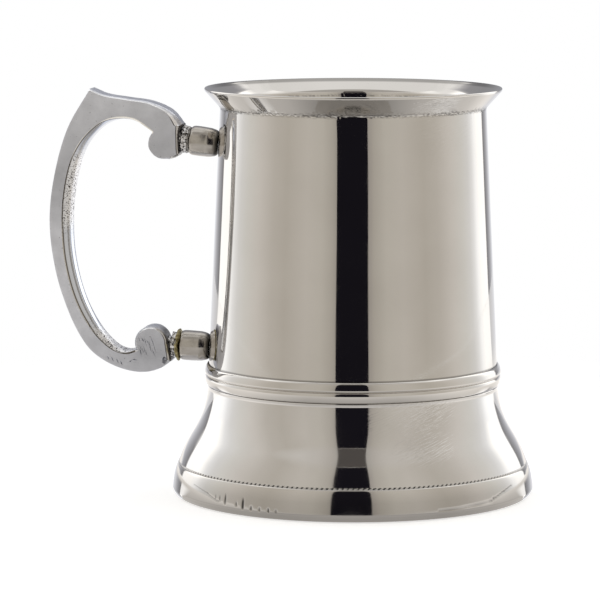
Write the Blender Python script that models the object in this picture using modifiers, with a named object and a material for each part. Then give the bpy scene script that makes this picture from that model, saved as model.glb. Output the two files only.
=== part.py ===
"""A polished steel tankard: a tapered cup with a flared lip, a beaded belt, a flared base
on a rolled foot, and a cast handle held off the wall by two ferrules.

Metres, +Z up. The cup's axis is Z, the table is the plane z = 0 and the handle points
along -X. Profiles are written in millimetres as (radius, height).
"""

import math

import bmesh
import bpy
from mathutils import Matrix, Vector
from mathutils.geometry import interpolate_bezier

MM = 0.001

# Sheet and clearances, in millimetres
SHEET = 0.9
GAP = 0.3

# Cup wall
HEIGHT = 120.4
RIM_RADIUS = 43.85
RIM_ROUND = 0.3
RIM_BAND = 0.8
LIP_ANGLE = math.radians(43)
WALL_TOP_RADIUS = 39.15
WALL_END_RADIUS = 42.84
WALL_END_HEIGHT = 35.0

# Belt, and the seat that is necked into the wall and the skirt behind it
BELT_TOP = 38.5
BELT_BOTTOM = 32.6
SEAT_RADIUS = 42.05
SEAT_TOP = 37.2
SEAT_BOTTOM = 33.4
UPPER_BEAD = {"radius": 42.25, "height": 36.9, "depth": 1.6, "half_height": 1.9}
LOWER_BEAD = {"radius": 42.55, "height": 33.8, "depth": 1.25, "half_height": 1.3}
BEAD_SPREAD = 60

# Flared base
SKIRT_NECK = (42.9, 31.6)
COVE_HANDLES = ((43.8, 24.8), (45.35, 21.2))
SKIRT_TURN = (48.25, 17.3)
SHOULDER_HANDLES = ((49.5, 15.1), (50.6, 12.0))
SKIRT_END = (51.8, 9.4)
FOOT_TOP = (51.95, SKIRT_END[1] - GAP)
FOOT_HANDLES = ((52.8, 7.9), (53.35, 5.0))
FOOT_RADIUS = 53.5
FOOT_EDGE = 1.4
FOOT_LIP_RADIUS = 47.5
FLOOR_HEIGHT = 10.0
FLOOR_FLANGE = [(48.7, 13.2), (49.5, 11.0), (48.9, FLOOR_HEIGHT)]
PLATE_RADIUS = FOOT_LIP_RADIUS - GAP
PLATE_FLANGE_RADIUS = 49.8

# Handle casting, as (reach from the cup's axis, height, edge rounding)
HANDLE_THICKNESS = 8.0
THUMB_TIP = (78.4, 119.4, 0.5)
LUG_TOP = (50.4, 108.8, 0.8)
LUG_BOTTOM = (50.9, 100.1, 0.8)
LUG_NOTCH = (59.5, 106.8, 0.4)
SCROLL_CENTRE = (60.2, 43.8)
SCROLL_RADIUS = 4.95
SCROLL_START = -25
SCROLL_ROUNDING = 0.5
HEEL = (54.2, 38.4, 0.6)
TOP_RUN = [
    THUMB_TIP,
    (74.0, 117.65, 0.4),
    (67.0, 116.6, 0.4),
    (60.3, 115.6, 0.5),
    (54.2, 113.0, 0.8),
    LUG_TOP,
]
LOBE_RUN = [
    LUG_BOTTOM,
    (54.3, 98.75, 0.6),
    (58.1, 99.2, 0.4),
    (60.6, 101.9, 0.4),
    (60.6, 104.7, 0.4),
    LUG_NOTCH,
]
INNER_RUN = [
    LUG_NOTCH,
    (64.6, 110.0, 0.6),
    (68.8, 110.4, 0.9),
    (73.6, 108.8, 1.4),
    (78.4, 104.2, 2.0),
    (81.4, 98.4, 2.6),
    (83.6, 88.4, 2.9),
    (84.2, 77.5, 2.9),
    (83.3, 67.6, 2.9),
    (80.6, 57.4, 2.8),
    (76.3, 48.9, 2.5),
    (71.7, 43.5, 1.9),
    (68.0, 41.5, 1.2),
]
OUTER_RUN = [
    HEEL,
    (57.7, 36.1, 0.4),
    (63.0, 34.95, 0.4),
    (69.6, 36.05, 0.4),
    (75.9, 39.1, 0.4),
    (80.2, 43.2, 0.4),
    (84.8, 51.6, 0.4),
    (89.0, 64.4, 0.4),
    (90.9, 79.0, 0.4),
    (89.5, 92.6, 0.4),
    (85.3, 107.4, 0.4),
    THUMB_TIP,
]
RUN_STEPS = 4
WIDE_ROUNDING = 1.5
NARROW_ROUNDING = 0.6
BULLNOSE_POWER = 2
CHAMFER_POWER = 8
DEPTH_LAYERS = (-1.0, -0.9, -0.6, 0.0, 0.6, 0.9, 1.0)

# Handle fixings, along each ferrule's axis from the wall
UPPER_FIXING_HEIGHT = 103.2
LOWER_FIXING_HEIGHT = 42.55
FERRULE_RADIUS = 4.45
FERRULE_CHAMFER = 0.7
FERRULE_ROUND = 1.6
UPPER_FERRULE_END = 9.5
LOWER_FERRULE_END = 8.5
UPPER_BRAZE = {"length": 0.6, "radius": 3.7}
LOWER_BRAZE = {"length": 1.6, "radius": 4.75}
STUB_RADIUS = 3.9
STUB_DEPTH = 2.5
STUD_RADIUS = 2.0
STUD_GRIP = 4.5
BORE_RADIUS = STUD_RADIUS + GAP

# Facets
CUP_STEPS = 64
FERRULE_STEPS = 24
STUD_SIDES = 16
UPPER_BEAD_POINTS = 6
LOWER_BEAD_POINTS = 5
COVE_POINTS = 7
SHOULDER_POINTS = 5
FOOT_POINTS = 6
FOOT_EDGE_POINTS = 4
ROUND_POINTS = 5
SCROLL_POINTS = 14
SHARP_ANGLE = math.radians(35)


def clear_scene():
    for obj in list(bpy.data.objects):
        bpy.data.objects.remove(obj, do_unlink=True)


def new_collection(name):
    collection = bpy.data.collections.new(name)
    bpy.context.scene.collection.children.link(collection)
    return collection


def metal(name, colour, roughness):
    material = bpy.data.materials.new(name)
    material.use_nodes = True
    shader = material.node_tree.nodes["Principled BSDF"]
    shader.inputs["Base Color"].default_value = (*colour, 1)
    shader.inputs["Roughness"].default_value = roughness
    shader.inputs["Metallic"].default_value = 1.0
    return material


def add_object(name, mesh, collection, material=None):
    obj = bpy.data.objects.new(name, mesh)
    collection.objects.link(obj)
    if material:
        mesh.materials.append(material)
    return obj


def arc(centre, radii, start, end, count):
    """Points of an ellipse's arc, in degrees from +radius towards +height."""
    angles = [math.radians(start + (end - start) * i / (count - 1)) for i in range(count)]
    return [(centre[0] + radii[0] * math.cos(a), centre[1] + radii[1] * math.sin(a)) for a in angles]


def bezier(start, start_handle, end_handle, end, count):
    knots = [Vector((*point, 0)) for point in (start, start_handle, end_handle, end)]
    return [point.xy[:] for point in interpolate_bezier(*knots, count)]


def turned(name, profile, collection, material, steps, closed=False, sheet=None):
    """A profile that runs down its outer side, swept round Z. A sheet thickens it inwards."""
    mesh = bpy.data.meshes.new(name)
    points = [(radius * MM, 0, height * MM) for radius, height in profile]
    edges = [(i, i + 1) for i in range(len(points) - 1)]
    if closed:
        edges.append((len(points) - 1, 0))
    mesh.from_pydata(points, edges, [])
    obj = add_object(name, mesh, collection, material)
    screw = obj.modifiers.new("Turn", "SCREW")
    screw.steps = steps
    screw.render_steps = steps
    screw.use_merge_vertices = True
    screw.merge_threshold = 0.00001
    screw.use_smooth_shade = True
    if sheet:
        shell = obj.modifiers.new("Sheet", "SOLIDIFY")
        shell.thickness = sheet * MM
        shell.offset = -1
        shell.use_even_offset = True
    return obj


def crease_height():
    """Where the lip's flare leaves the wall."""
    return HEIGHT - RIM_BAND - (RIM_RADIUS - WALL_TOP_RADIUS) / math.tan(LIP_ANGLE)


def wall_slope():
    return (WALL_END_RADIUS - WALL_TOP_RADIUS) / (crease_height() - WALL_END_HEIGHT)


def wall_radius(height):
    return WALL_TOP_RADIUS + (crease_height() - height) * wall_slope()


def make_cup_wall(parts, material):
    crease = crease_height()
    neck = SEAT_TOP + GAP * 2
    lip_top = WALL_TOP_RADIUS + (HEIGHT - crease) * math.tan(LIP_ANGLE) - SHEET / math.cos(LIP_ANGLE)
    outside = [
        (RIM_RADIUS - RIM_ROUND, HEIGHT),
        (RIM_RADIUS, HEIGHT - RIM_ROUND),
        (RIM_RADIUS, HEIGHT - RIM_BAND),
        (WALL_TOP_RADIUS, crease),
        (wall_radius(neck), neck),
        (SEAT_RADIUS, SEAT_TOP),
        (SEAT_RADIUS, WALL_END_HEIGHT),
    ]
    inside = [
        (SEAT_RADIUS - SHEET, WALL_END_HEIGHT),
        (SEAT_RADIUS - SHEET, SEAT_TOP),
        (wall_radius(neck) - SHEET, neck),
        (WALL_TOP_RADIUS - SHEET, crease + SHEET * math.tan(LIP_ANGLE / 2)),
        (lip_top, HEIGHT),
    ]
    return turned("cup_wall", outside + inside, parts, material, CUP_STEPS, closed=True)


def bead(form, count):
    centre = (form["radius"], form["height"])
    return arc(centre, (form["depth"], form["half_height"]), BEAD_SPREAD, -BEAD_SPREAD, count)


def make_belt_ring(parts, material):
    seat = SEAT_RADIUS + GAP
    top = wall_radius(BELT_TOP) + GAP
    profile = bead(UPPER_BEAD, UPPER_BEAD_POINTS) + bead(LOWER_BEAD, LOWER_BEAD_POINTS)
    profile += [
        (SKIRT_NECK[0] + GAP / 2, BELT_BOTTOM),
        (seat, SEAT_BOTTOM),
        (seat, SEAT_TOP),
        (top, SEAT_TOP + GAP * 2),
        (top, BELT_TOP),
    ]
    return turned("belt_ring", profile, parts, material, CUP_STEPS, closed=True)


def make_base_skirt(parts, material):
    cove = bezier(SKIRT_NECK, *COVE_HANDLES, SKIRT_TURN, COVE_POINTS)
    shoulder = bezier(SKIRT_TURN, *SHOULDER_HANDLES, SKIRT_END, SHOULDER_POINTS)
    collar = [(SEAT_RADIUS, WALL_END_HEIGHT - GAP), (SEAT_RADIUS, SEAT_BOTTOM - GAP)]
    return turned("base_skirt", collar + cove + shoulder[1:], parts, material, CUP_STEPS, sheet=SHEET)


def make_foot_band(parts, material):
    side = bezier(FOOT_TOP, *FOOT_HANDLES, (FOOT_RADIUS, FOOT_EDGE), FOOT_POINTS)
    centre = (FOOT_RADIUS - FOOT_EDGE, FOOT_EDGE)
    edge = arc(centre, (FOOT_EDGE, FOOT_EDGE), 0, -90, FOOT_EDGE_POINTS)
    lip = [(FOOT_LIP_RADIUS, 0)]
    return turned("foot_band", side + edge[1:] + lip, parts, material, CUP_STEPS, sheet=SHEET)


def make_cup_floor(parts, material):
    profile = FLOOR_FLANGE + [(0, FLOOR_HEIGHT)]
    return turned("cup_floor", profile, parts, material, CUP_STEPS, sheet=SHEET)


def make_base_plate(parts, material):
    flange = SHEET + GAP
    profile = [(PLATE_FLANGE_RADIUS, flange), (PLATE_RADIUS, flange), (PLATE_RADIUS, 0), (0, 0)]
    return turned("base_plate", profile, parts, material, CUP_STEPS, sheet=SHEET)


def fixing_frame(height):
    """Local +Z leaves the wall square to it, towards the handle."""
    start = Vector((-wall_radius(height), 0, height)) * MM
    outward = Vector((-1, 0, wall_slope()))
    return Matrix.Translation(start) @ outward.to_track_quat("Z", "Y").to_matrix().to_4x4()


def make_ferrule(name, frame, end, parts, material):
    centre = (FERRULE_RADIUS - FERRULE_ROUND, GAP + FERRULE_ROUND)
    chamfered = [(FERRULE_RADIUS - FERRULE_CHAMFER, end), (FERRULE_RADIUS, end - FERRULE_CHAMFER)]
    rounded = arc(centre, (FERRULE_ROUND, FERRULE_ROUND), 0, -90, ROUND_POINTS)
    profile = [(BORE_RADIUS, end)] + chamfered + rounded + [(BORE_RADIUS, GAP)]
    ferrule = turned(name, profile, parts, material, FERRULE_STEPS, closed=True)
    ferrule.matrix_world = frame
    return ferrule


def make_braze_ring(name, frame, start, form, parts, material):
    """A bead of braze between the ferrule and the casting's stub."""
    half = form["length"] / 2
    side = arc((form["radius"] - half, start + half), (half, half), 90, -90, ROUND_POINTS)
    profile = [(BORE_RADIUS, start + form["length"])] + side + [(BORE_RADIUS, start)]
    ring = turned(name, profile, parts, material, FERRULE_STEPS, closed=True)
    ring.matrix_world = frame
    return ring


def rod(name, frame, radius, start, end, collection, material=None, sides=STUD_SIDES):
    mesh = bpy.data.meshes.new(name)
    bm = bmesh.new()
    middle = Matrix.Translation((0, 0, (start + end) / 2 * MM))
    bmesh.ops.create_cone(
        bm,
        cap_ends=True,
        segments=sides,
        radius1=radius * MM,
        radius2=radius * MM,
        depth=(end - start) * MM,
        matrix=middle,
    )
    bm.to_mesh(mesh)
    bm.free()
    mesh.shade_smooth()
    mesh.set_sharp_from_angle(angle=SHARP_ANGLE)
    obj = add_object(name, mesh, collection, material)
    obj.matrix_world = frame
    return obj


def smooth_run(points):
    """A curve through the points, each (reach, height, rounding), without the last one."""
    knots = [Vector(point) for point in points]
    ahead = knots[1:] + [knots[-1]]
    behind = [knots[0]] + knots[:-1]
    slopes = [(b - a).normalized() for a, b in zip(behind, ahead)]
    curve = []
    for i in range(len(knots) - 1):
        pull = (knots[i + 1] - knots[i]).length / 3
        handles = knots[i] + slopes[i] * pull, knots[i + 1] - slopes[i + 1] * pull
        curve += interpolate_bezier(knots[i], *handles, knots[i + 1], RUN_STEPS + 1)[:-1]
    return curve


def handle_outline():
    """The casting's outline at mid-thickness, anticlockwise in (reach, height)."""
    scroll = arc(SCROLL_CENTRE, (SCROLL_RADIUS, SCROLL_RADIUS), SCROLL_START, 180, SCROLL_POINTS)
    scroll = [Vector((*point, SCROLL_ROUNDING)) for point in scroll]
    inner = smooth_run(INNER_RUN + [scroll[0][:]])
    lobe = smooth_run(LOBE_RUN)
    top = smooth_run(TOP_RUN) + [Vector(LUG_TOP)]
    outer = smooth_run(OUTER_RUN)
    return outer + top + lobe + inner + scroll


def edge_inset(depth, rounding):
    """How much of its rounding an edge has lost at this share of the half thickness:
    a bullnose where the rounding is wide, a thin chamfer where it is narrow."""
    narrow = (WIDE_ROUNDING - rounding) / (WIDE_ROUNDING - NARROW_ROUNDING)
    power = BULLNOSE_POWER + (CHAMFER_POWER - BULLNOSE_POWER) * min(max(narrow, 0), 1)
    return rounding * (1 - (1 - abs(depth) ** power) ** (1 / power))


def make_handle_blank(parts, material):
    """A loft of the outline through the thickness, drawn in at each layer by its rounding."""
    outline = handle_outline()
    after = outline[1:] + outline[:1]
    before = outline[-1:] + outline[:-1]
    along = [(b - a).xy.normalized() for a, b in zip(before, after)]
    bm = bmesh.new()
    rings = []
    for depth in DEPTH_LAYERS:
        ring = []
        for point, tangent in zip(outline, along):
            inset = edge_inset(depth, point.z)
            reach = point.x - tangent.y * inset
            height = point.y + tangent.x * inset
            ring.append(bm.verts.new((-reach * MM, depth * HANDLE_THICKNESS / 2 * MM, height * MM)))
        rings.append(ring)
    for near, far in zip(rings, rings[1:]):
        for i in range(len(near)):
            bm.faces.new((near[i - 1], near[i], far[i], far[i - 1]))
    bm.faces.new(rings[0])
    bm.faces.new(rings[-1])
    bmesh.ops.recalc_face_normals(bm, faces=bm.faces)
    mesh = bpy.data.meshes.new("handle")
    bm.to_mesh(mesh)
    bm.free()
    mesh.shade_smooth()
    mesh.set_sharp_from_angle(angle=SHARP_ANGLE)
    return add_object("handle", mesh, parts, material)


def shape(obj, tool, operation):
    tool.hide_render = True
    tool.display_type = "WIRE"
    cut = obj.modifiers.new(tool.name, "BOOLEAN")
    cut.operation = operation
    cut.object = tool


def make_fixing(name, height, ferrule_end, braze, handle, parts, tools, metals):
    """One ferrule with its braze ring and stud, and the handle's stub and bore for them."""
    frame = fixing_frame(height)
    braze_start = ferrule_end + GAP
    stub_start = braze_start + braze["length"] + GAP
    stud_end = stub_start + STUD_GRIP
    make_ferrule(f"{name}_ferrule", frame, ferrule_end, parts, metals["polished"])
    make_braze_ring(f"{name}_braze_ring", frame, braze_start, braze, parts, metals["braze"])
    rod(f"{name}_stud", frame, STUD_RADIUS, GAP, stud_end, parts, metals["plain"])
    stub_end = stub_start + STUB_DEPTH
    stub = rod(f"{name}_stub", frame, STUB_RADIUS, stub_start, stub_end, tools, sides=FERRULE_STEPS)
    bore = rod(f"{name}_bore", frame, BORE_RADIUS, 0, stud_end + GAP, tools)
    shape(handle, stub, "UNION")
    shape(handle, bore, "DIFFERENCE")


def main():
    clear_scene()
    parts = new_collection("tankard")
    tools = new_collection("tankard_tools")
    metals = {
        "polished": metal("polished_steel", (0.80, 0.78, 0.75), 0.06),
        "cast": metal("cast_steel", (0.55, 0.55, 0.56), 0.38),
        "braze": metal("braze_brass", (0.55, 0.46, 0.27), 0.35),
        "plain": metal("plain_steel", (0.60, 0.60, 0.60), 0.30),
    }
    make_cup_wall(parts, metals["polished"])
    make_belt_ring(parts, metals["polished"])
    make_base_skirt(parts, metals["polished"])
    make_foot_band(parts, metals["polished"])
    make_cup_floor(parts, metals["plain"])
    make_base_plate(parts, metals["plain"])
    handle = make_handle_blank(parts, metals["cast"])
    make_fixing("upper", UPPER_FIXING_HEIGHT, UPPER_FERRULE_END, UPPER_BRAZE, handle, parts, tools, metals)
    make_fixing("lower", LOWER_FIXING_HEIGHT, LOWER_FERRULE_END, LOWER_BRAZE, handle, parts, tools, metals)


main()
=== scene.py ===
"""A polished steel tankard on a pale floor in a white studio tent.

The turned pieces are rebuilt finely from the solids' own profiles, so that mirrors show no
facets, and the casting with its rough inner face, pits and weld. Profiles, as (radius, height),
and the casting's outline are in millimetres. What the shaders and the studio use is in metres.
"""

import random
from math import atan, cos, degrees, exp, pi, radians, sin, sqrt, tan

import bmesh
import bpy
from mathutils import Matrix, Vector, noise
from mathutils.geometry import delaunay_2d_cdt, interpolate_bezier


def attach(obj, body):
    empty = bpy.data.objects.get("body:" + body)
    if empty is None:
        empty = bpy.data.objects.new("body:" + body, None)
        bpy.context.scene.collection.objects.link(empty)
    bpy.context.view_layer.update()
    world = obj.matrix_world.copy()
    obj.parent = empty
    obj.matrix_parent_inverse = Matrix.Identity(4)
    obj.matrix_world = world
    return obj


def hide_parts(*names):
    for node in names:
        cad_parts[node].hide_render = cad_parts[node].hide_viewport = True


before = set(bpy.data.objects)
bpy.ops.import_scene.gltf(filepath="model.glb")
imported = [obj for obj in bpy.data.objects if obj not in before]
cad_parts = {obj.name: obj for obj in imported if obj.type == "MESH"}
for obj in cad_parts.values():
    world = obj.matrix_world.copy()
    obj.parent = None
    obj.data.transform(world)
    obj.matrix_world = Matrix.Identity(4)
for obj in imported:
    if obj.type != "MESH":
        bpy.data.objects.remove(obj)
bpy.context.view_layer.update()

MM = 0.001
GAP = 0.3
SHEET = 0.9

# Camera and studio
CAMERA_TURN = radians(8.0)
FACING = CAMERA_TURN - pi / 2
CAMERA_REACH = 1.1055
CAMERA_HEIGHT = 0.1933
CAMERA_PITCH = radians(7.011)
CAMERA_YAW = radians(0.812)
FOCAL_PIXELS = 3761.3
FRAME_PIXELS = 600
SENSOR = 36.0
TENT_RADIUS = 0.65
TENT_HEIGHT = 1.0
SLOT_RADIUS = 0.645
SLOT_TURN = radians(-0.6)
SLOT_HALF = radians(12.45)
SLOT_TOP = 0.66
SLOT_END = 0.999
SLOT_BLACK = (0.010, 0.009, 0.013)
SLOT_GREY = (0.098, 0.089, 0.084)
LEFT_SHIFT = 0.035
GLOW = 2.5
ROOF_GLOW = 1.02
PAPER_GLOW = 0.48

# Light of the tent's wall, as (turn from the camera's side in degrees, grey or red, green and blue)
TENT_SIDES = [
    (12.6, 0.44, 0.41, 0.38), (17.4, 0.55, 0.52, 0.47), (27.1, 0.65, 0.62, 0.565),
    (40.7, 0.68, 0.645, 0.595), (60, 0.61, 0.575, 0.52), (73, 0.66, 0.625, 0.575), (87.5, 0.79, 0.755, 0.715),
    (102, 0.86, 0.85, 0.82), (111, 0.935), (117, 1.10, 1.11, 1.13), (123, 1.40, 1.42, 1.45), (129, 1.55),
    (142, 1.50, 1.50, 1.52),
]
TENT_LOW = TENT_SIDES + [
    (143.5, 0.24, 0.24, 0.25), (145.5, 0.33, 0.33, 0.35), (150, 0.43, 0.435, 0.47), (156, 0.61, 0.615, 0.66),
    (163, 0.83, 0.84, 0.89), (180, 0.92, 0.93, 0.98),
]
TENT_MIDDLE = TENT_SIDES[:-3] + [
    (123, 1.55, 1.55, 1.54), (129, 1.85), (141, 1.85), (145, 0.6, 0.6, 0.62), (150, 0.40, 0.40, 0.43),
    (160, 0.36, 0.365, 0.39), (180, 0.33, 0.335, 0.365),
]
TENT_HIGH = [
    (13, 0.5, 0.48, 0.45), (20, 0.59, 0.56, 0.52), (30, 0.68, 0.65, 0.61),
    (70, 0.80, 0.78, 0.75), (86, 1.1, 1.09, 1.07), (95, 1.3), (105, 1.3), (115, 1.15), (140, 1.1),
    (148, 0.50, 0.50, 0.54), (180, 0.62, 0.62, 0.66),
]
TENT_TOP = TENT_HIGH[:3] + [
    (75, 0.80, 0.77, 0.74), (88, 1.05, 1.03, 1.0), (98, 1.35), (113, 1.4), (120, 1.08), (140, 1.03),
    (150, 0.75, 0.75, 0.78), (180, 0.85, 0.85, 0.88),
]
FLOOR_FAR = TENT_SIDES[:-1] + [
    (142, 1.4), (143.5, 0.78, 0.78, 0.80), (150, 0.82, 0.825, 0.86), (180, 0.95, 0.955, 1.0),
]

# Heights over which the tent's light changes to the next level
TENT_RISES = [((0.10, 0.14), TENT_MIDDLE), ((0.58, 0.72), TENT_HIGH), ((0.84, 0.90), TENT_TOP)]

# Light of the roof from the camera's side to the back, as (share, colour)
ROOF_SHADES = [(0.0, (0.5, 0.48, 0.46)), (0.335, (0.5, 0.485, 0.465)), (0.39, (1, 1, 1))]

# The floor seen in reflections glows; its dimming near the axis is a painted shadow of the tankard.
# Light of the floor, as (distance from the axis in millimetres, strength)
FLOOR_FRONT = [(0, 0.40), (52, 0.42), (60, 0.48), (80, 0.54), (120, 0.70), (180, 0.72), (650, 0.70)]
FLOOR_SIDE = [(0, 0.55), (52, 0.66), (60, 0.74), (80, 0.86), (130, 1.0), (200, 1.1), (330, 1.2), (650, 1.25)]
FLOOR_WARMTH = (1.0, 0.97, 0.94)

# Cup wall
HEIGHT = 120.4
RIM_RADIUS = 43.85
RIM_BAND = 0.8
RIM_ROUND = 0.42
RIM_INSIDE = [(42.55, 119.66), (42.95, 120.08), (43.12, 120.38), (43.4, HEIGHT)]
LIP_ANGLE = radians(43)
THROAT_START = 111.0
THROAT_LOW = [(38.36, 112.6), (38.64, 113.9), (38.95, 114.9)]
THROAT_HIGH = [(39.64, 116.85), (40.28, 117.5), (41.0, 118.15)]
THROAT_MIDDLE = (39.33, 116.1)
WALL_TOP_RADIUS = 39.15
WALL_END_RADIUS = 42.84
WALL_END_HEIGHT = 35.0
# Below this height the wall above the belt ring gets painted shade.
WALL_SHADE_HEIGHT = 39.2
SEAT_RADIUS = 42.05
SEAT_TOP = 37.2
WALL_STEPS = 720
CREASE = HEIGHT - RIM_BAND - (RIM_RADIUS - WALL_TOP_RADIUS) / tan(LIP_ANGLE)
WALL_SLOPE = (WALL_END_RADIUS - WALL_TOP_RADIUS) / (CREASE - WALL_END_HEIGHT)

# Belt ring, as a start and curves of two handles, an end and a count of points
UPPER_BEAD = [
    (42.76, 38.74),
    ((43.0, 38.76), (43.2, 38.55), (43.35, 38.35), 7),
    ((43.6, 38.0), (43.84, 37.2), (43.905, 36.5), 14),
    ((43.92, 36.15), (43.7, 35.92), (43.4, 35.88), 7),
]
BEAD_GROOVE = [(43.3, 35.83), (43.3, 35.78)]
LOWER_BEAD = [
    (43.36, 35.72),
    ((43.55, 35.7), (43.68, 35.5), (43.72, 35.3), 6),
    ((43.75, 35.15), (43.77, 35.0), (43.785, 34.8), 5),
    ((43.77, 34.4), (43.62, 33.7), (43.42, 33.1), 8),
    ((43.35, 32.9), (43.2, 32.72), (42.95, 32.66), 5),
]

# Base skirt: the top of its flare, and its leans from upright in degrees as (height, lean)
SKIRT_TOP = (42.9, 31.6)
SKIRT_LEANS = [
    (31.6, 7.0), (28.0, 11.8), (25.0, 17.0), (22.0, 25.0), (20.5, 28.0), (18.0, 32.5), (16.0, 29.0),
    (14.15, 27.0), (12.0, 22.0), (9.75, 20.0),
]

# Foot band, as curves like the belt ring's
FOOT_TOP = (51.6, 8.9)
FOOT_ROUND = 0.36
FOOT_SIDE = [
    ((52.1, 8.95), (52.3, 8.3), (52.5, 7.7), 8),
    ((52.9, 6.5), (53.25, 4.6), (53.47, 1.85), 20),
]
FOOT_UNDER = [(53.34, 1.35), (52.95, 0.45), (52.2, 0.1)]
FOOT_LIP = [(51.6, 0.0), (47.5, 0.0), (47.5, 0.9), (51.5, 1.0)]
FOOT_STEPS = 900

# Knurled seam
KNURL_CENTRE = (51.58, 9.5)
KNURL_RADII = (0.15, 0.34)
KNURL_MARKS = 220
KNURL_STEPS = KNURL_MARKS * 8
KNURL_SECTION = 16

# Handle casting, with points as (reach from the cup's axis, height, edge rounding)
HANDLE_HALF = 4.0
THUMB_TIP = (78.4, 119.4, 0.5)
LUG_TOP = (50.4, 108.8, 2.0)
LUG_BOTTOM = (51.5, 100.2, 0.5)
LUG_SIDE = [LUG_TOP, (51.0, 107.8, 1.5), (51.6, 106.6, 0.7), (51.7, 101.6, 0.45), LUG_BOTTOM]
LUG_UNDERSIDE = [LUG_BOTTOM, (52.6, 99.35, 0.55), (54.3, 98.75, 0.6)]
LUG_NOTCH = (59.5, 106.8, 0.4)
SCROLL_CENTRE = (60.2, 43.8)
SCROLL_RADIUS = 4.95
SCROLL_START = -25
HEEL = (54.2, 38.4, 0.8)
TOP_RUN = [
    THUMB_TIP, (74.0, 117.65, 0.45), (67.0, 116.6, 0.5), (60.3, 115.6, 0.6), (54.2, 113.0, 1.1), LUG_TOP,
]
LOBE_RUN = [(54.3, 98.75, 0.6), (58.1, 99.2, 0.4), (60.6, 101.9, 0.4), (60.6, 104.7, 0.4), LUG_NOTCH]
INNER_RUN = [
    LUG_NOTCH, (64.6, 110.0, 0.6), (68.8, 110.4, 0.9), (73.6, 108.8, 1.4), (78.4, 104.2, 2.0),
    (81.4, 98.4, 2.6), (83.6, 88.4, 2.9), (84.2, 77.5, 2.9), (83.3, 67.6, 2.9), (80.6, 57.4, 2.8),
    (76.3, 48.9, 2.5), (71.7, 43.5, 1.9), (68.0, 41.5, 1.2),
]
OUTER_RUN = [
    HEEL, (57.7, 36.1, 0.4), (63.0, 34.95, 0.4), (69.6, 36.05, 0.4), (75.9, 39.1, 0.4),
    (80.2, 43.2, 0.4), (84.8, 51.6, 0.4), (89.0, 64.4, 0.4), (90.86, 79.0, 0.4), (89.5, 92.6, 0.4),
    (85.3, 107.4, 0.4), THUMB_TIP,
]

# Handle fixings: height and lean in degrees, lengths from the wall, and the filler's light and dark
FIXINGS = {
    "upper": {
        "place": (103.2, 4.5),
        "ferrule": {"end": 9.0, "wide": 4.44, "slim": 4.34},
        "braze": {"start": 9.1, "length": 0.5, "radius": 3.8, "lumps": 0.15},
        "stub": {"start": 9.6, "length": 1.75, "radius": 4.0},
        "filler": ("solder", ((0.40, 0.385, 0.36), (0.17, 0.16, 0.145))),
    },
    "lower": {
        "place": (42.55, 0.0),
        "ferrule": {"end": 9.3, "wide": 4.52, "slim": 4.45},
        "braze": {"start": 9.4, "length": 1.1, "radius": 4.6, "lumps": 0.42},
        "stub": {"start": 10.4, "length": 1.5, "radius": 3.7},
        "filler": ("braze", ((0.42, 0.37, 0.20), (0.16, 0.13, 0.06))),
    },
}
BORE_RADIUS = 2.3

# Tool marks on the foot, as (turn from the camera's side in degrees, height, half length, depth)
FOOT_MARKS = [
    (-47.9, 4.7, 0.9, 0.10), (-46.0, 4.5, 1.0, 0.12), (-43.5, 4.5, 1.9, 0.20), (-38.8, 3.6, 1.0, 0.14),
    (-36.2, 3.9, 2.0, 0.30), (-33.0, 2.9, 0.9, 0.18), (-29.9, 2.8, 0.8, 0.14), (-26.8, 2.7, 0.9, 0.18),
    (-24.2, 2.6, 0.8, 0.14),
]

# Scratches on the foot, as depth and a line of (turn from the camera's side, height)
FOOT_SCRATCHES = [
    (0.07, [(-59.9, 6.3), (-53.0, 5.2), (-47.2, 3.5)]),
    (0.10, [(60.1, 6.3), (55.0, 5.3), (50.5, 4.1), (48.3, 3.3)]),
    (0.07, [(48.3, 3.3), (38.0, 2.9), (28.6, 2.6)]),
]

# The casting's painted light and shade by height, as (metres, share)
CAST_SHADES = [
    (0.034, 0.71), (0.041, 0.74), (0.048, 0.84), (0.060, 0.893), (0.078, 0.875), (0.087, 0.71),
    (0.096, 0.72), (0.103, 0.81), (0.112, 0.88), (0.118, 1.0),
]

# Painted shade in the casting's recesses, as centre and the two distances over which it fades
SHADED_RECESSES = [((-0.0508, 0, 0.104), 0.0080, 0.0095), ((-0.0545, 0, 0.0425), 0.0052, 0.0072)]

# Painted shade along the ferrules' length from the wall, darkest at the wall, as (metres, share)
FERRULE_END_SHADE = [
    (0.0, 0.05), (0.0009, 0.10), (0.0014, 0.5), (0.0020, 0.95), (0.0035, 1.0), (0.0078, 1.0),
    (0.0085, 0.9), (0.0095, 0.75),
]

# Grinding marks on the casting's front, as (reach, height, half length, angle)
GRINDER_MARKS = [
    (65.2, 38.7, 0.9, 10), (66.4, 38.2, 0.6, -35), (70.4, 38.2, 0.9, 65), (71.9, 38.7, 1.1, 62),
    (73.2, 39.1, 0.8, 60), (69.2, 37.6, 0.9, 65),
]

# Blow holes in the casting's front, as (reach, height, half size, depth)
BLOW_HOLES = [
    (56.1, 38.7, (0.7, 1.05), 1.1),
    (60.1, 106.9, (0.5, 0.4), 0.6),
    (65.3, 42.0, (0.6, 0.35), 0.6),
]

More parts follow.
